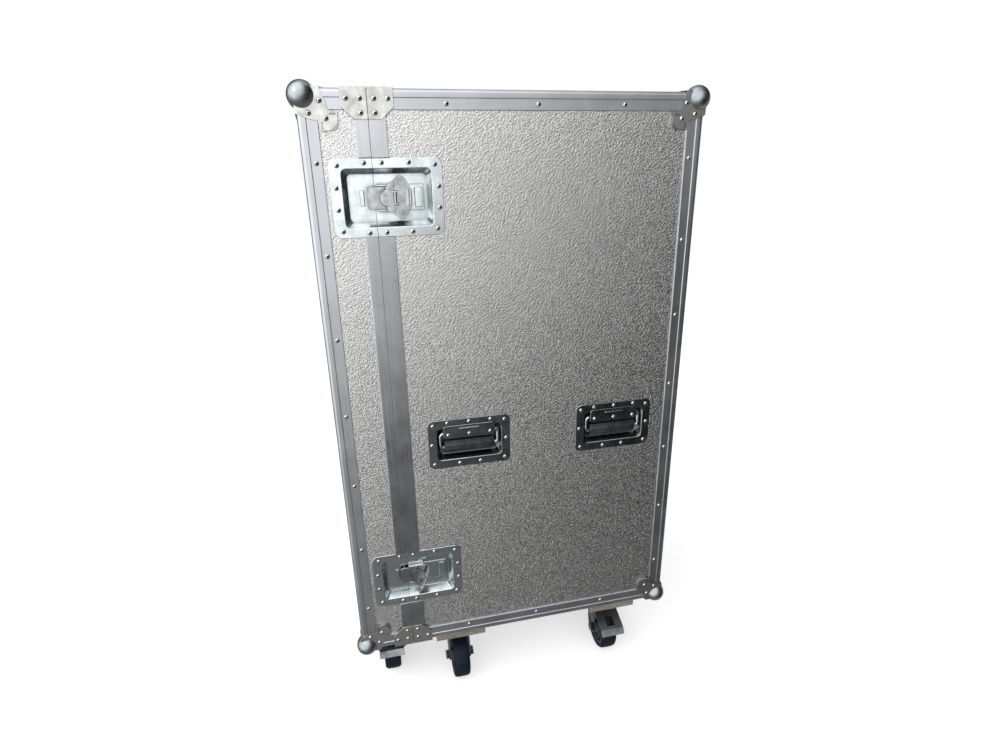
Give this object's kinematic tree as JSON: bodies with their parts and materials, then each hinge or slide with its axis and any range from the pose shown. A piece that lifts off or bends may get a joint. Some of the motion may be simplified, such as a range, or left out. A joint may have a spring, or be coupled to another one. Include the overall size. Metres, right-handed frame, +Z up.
{
  "type": "hard equipment case",
  "caption": "Upright hard equipment case with aluminium edging, ball corners, recessed butterfly latches, drop handles, a hinged end lid and swivel castors.",
  "frame": {"origin": "middle of the case's bounding box, on the floor under the wheels", "axes": "+X along the case from the lid to the body end, +Y from the latch side to the hinge side, +Z up"},
  "size_m": [0.6908, 0.5318, 1.2195],
  "materials": {
    "laminate_panel": "stucco-embossed aluminium laminate on plywood",
    "satin_aluminium": "satin extruded aluminium with fine lengthwise lines",
    "zinc_steel": "zinc-plated pressed steel",
    "rivet_steel": "bright domed rivet heads",
    "grey_foam": "dark open-cell foam",
    "plywood": "sealed birch plywood with visible plies",
    "galvanised_steel": "zinc-plated pressed steel, slightly dull",
    "bolt_steel": "zinc-plated bolts",
    "blue_tread": "dark blue elastic rubber tread on a nylon hub",
    "dish_zinc": "zinc-plated pressed dishes and steel wire",
    "latch_zinc": "bright zinc-plated latch parts",
    "black_rubber": "ribbed black rubber"
  },
  "bodies": {
    "case_body": {"body_back_panel": "laminate_panel", "body_ball_corners": "zinc_steel", "body_castor_boards": "plywood", "body_castor_fasteners": "bolt_steel", "body_castor_plates": "galvanised_steel", "body_edge_angles": "satin_aluminium", "body_end_panel": "laminate_panel", "body_foam_lining": "grey_foam", "body_front_panel": "laminate_panel", "body_hinge_leaves": "zinc_steel", "body_latch_dishes": "dish_zinc", "body_rivets": "rivet_steel", "body_split_braces": "zinc_steel", "body_split_rails": "satin_aluminium", "body_top_and_bottom_panels": "laminate_panel", "handle_dishes": "dish_zinc", "handle_straps": "dish_zinc", "hinge_pins": "zinc_steel"},
    "lid": {"lid_back_panel": "laminate_panel", "lid_ball_corners": "zinc_steel", "lid_castor_board": "plywood", "lid_castor_fasteners": "bolt_steel", "lid_castor_plates": "galvanised_steel", "lid_edge_angles": "satin_aluminium", "lid_end_panel": "laminate_panel", "lid_front_panel": "laminate_panel", "lid_hinge_leaves": "zinc_steel", "lid_latch_dishes": "dish_zinc", "lid_rivets": "rivet_steel", "lid_split_braces": "zinc_steel", "lid_split_rails": "satin_aluminium", "lid_top_and_bottom_panels": "laminate_panel"},
    "top_latch_cam": {"top_latch_cam": "latch_zinc"},
    "top_latch_hook": {"top_latch_hook": "latch_zinc"},
    "top_latch_wing": {"top_latch_wing": "latch_zinc"},
    "bottom_latch_cam": {"bottom_latch_cam": "latch_zinc"},
    "bottom_latch_hook": {"bottom_latch_hook": "latch_zinc"},
    "bottom_latch_wing": {"bottom_latch_wing": "latch_zinc"},
    "front_left_handle": {"front_left_handle_bail": "dish_zinc", "front_left_handle_grip": "black_rubber"},
    "front_right_handle": {"front_right_handle_bail": "dish_zinc", "front_right_handle_grip": "black_rubber"},
    "back_left_handle": {"back_left_handle_bail": "dish_zinc", "back_left_handle_grip": "black_rubber"},
    "back_right_handle": {"back_right_handle_bail": "dish_zinc", "back_right_handle_grip": "black_rubber"},
    "lid_front_castor_fork": {"lid_front_castor_fork": "galvanised_steel"},
    "lid_front_castor_wheel": {"lid_front_castor_wheel": "blue_tread"},
    "lid_front_brake_pedal": {"lid_front_brake_pedal": "galvanised_steel"},
    "lid_back_castor_fork": {"lid_back_castor_fork": "galvanised_steel"},
    "lid_back_castor_wheel": {"lid_back_castor_wheel": "blue_tread"},
    "body_front_left_castor_fork": {"body_front_left_castor_fork": "galvanised_steel"},
    "body_front_left_castor_wheel": {"body_front_left_castor_wheel": "blue_tread"},
    "body_front_right_castor_fork": {"body_front_right_castor_fork": "galvanised_steel"},
    "body_front_right_castor_wheel": {"body_front_right_castor_wheel": "blue_tread"},
    "body_front_right_brake_pedal": {"body_front_right_brake_pedal": "galvanised_steel"},
    "body_back_left_castor_fork": {"body_back_left_castor_fork": "galvanised_steel"},
    "body_back_left_castor_wheel": {"body_back_left_castor_wheel": "blue_tread"},
    "body_back_right_castor_fork": {"body_back_right_castor_fork": "galvanised_steel"},
    "body_back_right_castor_wheel": {"body_back_right_castor_wheel": "blue_tread"}
  },
  "joints": [
    {"name": "lid_swing", "type": "hinge", "parent": "case_body", "child": "lid", "pos_m": [-0.23, 0.25995, 0.6825], "axis": [0, 0, -1], "range_deg": [0, 110]},
    {"name": "top_latch_turn", "type": "hinge", "parent": "case_body", "child": "top_latch_cam", "pos_m": [-0.209, -0.23705, 1.05], "axis": [0, 1, 0], "range_deg": [0, 180]},
    {"name": "top_latch_hook_slide", "type": "slide", "parent": "case_body", "child": "top_latch_hook", "axis": [1, 0, 0], "range_m": [-0.008, 0]},
    {"name": "top_latch_wing_fold", "type": "hinge", "parent": "top_latch_cam", "child": "top_latch_wing", "pos_m": [-0.198, -0.23955, 1.05], "axis": [0, 0, -1], "range_deg": [0, 90]},
    {"name": "bottom_latch_turn", "type": "hinge", "parent": "case_body", "child": "bottom_latch_cam", "pos_m": [-0.209, -0.23705, 0.3205], "axis": [0, 1, 0], "range_deg": [-20, 160]},
    {"name": "bottom_latch_hook_slide", "type": "slide", "parent": "case_body", "child": "bottom_latch_hook", "axis": [1, 0, 0], "range_m": [-0.00711, 0.00089]},
    {"name": "bottom_latch_wing_fold", "type": "hinge", "parent": "bottom_latch_cam", "child": "bottom_latch_wing", "pos_m": [-0.19866, -0.23955, 0.31674], "axis": [-0.342, 0, -0.9397], "range_deg": [-90, 0]},
    {"name": "front_left_handle_swing", "type": "hinge", "parent": "case_body", "child": "front_left_handle", "pos_m": [-0.094, -0.23805, 0.625], "axis": [-1, 0, 0], "range_deg": [0, 90], "stiffness_Nm_per_rad": 0.5, "springref_deg": -11.46},
    {"name": "front_right_handle_swing", "type": "hinge", "parent": "case_body", "child": "front_right_handle", "pos_m": [0.196, -0.23805, 0.625], "axis": [-1, 0, 0], "range_deg": [0, 90], "stiffness_Nm_per_rad": 0.5, "springref_deg": -11.46},
    {"name": "back_left_handle_swing", "type": "hinge", "parent": "case_body", "child": "back_left_handle", "pos_m": [-0.094, 0.24595, 0.625], "axis": [1, 0, 0], "range_deg": [0, 90], "stiffness_Nm_per_rad": 0.5, "springref_deg": -11.46},
    {"name": "back_right_handle_swing", "type": "hinge", "parent": "case_body", "child": "back_right_handle", "pos_m": [0.196, 0.24595, 0.625], "axis": [1, 0, 0], "range_deg": [0, 90], "stiffness_Nm_per_rad": 0.5, "springref_deg": -11.46},
    {"name": "lid_front_castor_swivel", "type": "hinge", "parent": "lid", "child": "lid_front_castor_fork", "pos_m": [-0.278, -0.09105, 0.1236], "axis": [0, 0, 1], "continuous": true},
    {"name": "lid_front_castor_roll", "type": "hinge", "parent": "lid_front_castor_fork", "child": "lid_front_castor_wheel", "pos_m": [-0.278, -0.12805, 0.05], "axis": [1, 0, 0], "continuous": true},
    {"name": "lid_front_brake_press", "type": "hinge", "parent": "lid_front_castor_fork", "child": "lid_front_brake_pedal", "pos_m": [-0.278, -0.12105, 0.108], "axis": [1, 0, 0], "range_deg": [0, 4]},
    {"name": "lid_back_castor_swivel", "type": "hinge", "parent": "lid", "child": "lid_back_castor_fork", "pos_m": [-0.278, 0.09895, 0.1236], "axis": [0, 0, 1], "continuous": true},
    {"name": "lid_back_castor_roll", "type": "hinge", "parent": "lid_back_castor_fork", "child": "lid_back_castor_wheel", "pos_m": [-0.278, 0.06195, 0.05], "axis": [1, 0, 0], "continuous": true},
    {"name": "body_front_left_castor_swivel", "type": "hinge", "parent": "case_body", "child": "body_front_left_castor_fork", "pos_m": [-0.128, -0.15205, 0.1236], "axis": [0, 0, 1], "continuous": true},
    {"name": "body_front_left_castor_roll", "type": "hinge", "parent": "body_front_left_castor_fork", "child": "body_front_left_castor_wheel", "pos_m": [-0.128, -0.18905, 0.05], "axis": [1, 0, 0], "continuous": true},
    {"name": "body_front_right_castor_swivel", "type": "hinge", "parent": "case_body", "child": "body_front_right_castor_fork", "pos_m": [0.22, -0.15205, 0.1236], "axis": [0, 0, 1], "continuous": true},
    {"name": "body_front_right_castor_roll", "type": "hinge", "parent": "body_front_right_castor_fork", "child": "body_front_right_castor_wheel", "pos_m": [0.22, -0.18905, 0.05], "axis": [1, 0, 0], "continuous": true},
    {"name": "body_front_right_brake_press", "type": "hinge", "parent": "body_front_right_castor_fork", "child": "body_front_right_brake_pedal", "pos_m": [0.22, -0.18205, 0.108], "axis": [1, 0, 0], "range_deg": [0, 4]},
    {"name": "body_back_left_castor_swivel", "type": "hinge", "parent": "case_body", "child": "body_back_left_castor_fork", "pos_m": [-0.128, 0.15995, 0.1236], "axis": [0, 0, 1], "continuous": true},
    {"name": "body_back_left_castor_roll", "type": "hinge", "parent": "body_back_left_castor_fork", "child": "body_back_left_castor_wheel", "pos_m": [-0.128, 0.12295, 0.05], "axis": [1, 0, 0], "continuous": true},
    {"name": "body_back_right_castor_swivel", "type": "hinge", "parent": "case_body", "child": "body_back_right_castor_fork", "pos_m": [0.22, 0.15995, 0.1236], "axis": [0, 0, 1], "continuous": true},
    {"name": "body_back_right_castor_roll", "type": "hinge", "parent": "body_back_right_castor_fork", "child": "body_back_right_castor_wheel", "pos_m": [0.22, 0.12295, 0.05], "axis": [1, 0, 0], "continuous": true}
  ],
  "couplings": [
    {"joint": "top_latch_hook_slide", "follows": "top_latch_turn", "m_per_rad": -0.0025465},
    {"joint": "bottom_latch_hook_slide", "follows": "bottom_latch_turn", "m_per_rad": -0.0025465}
  ]
}
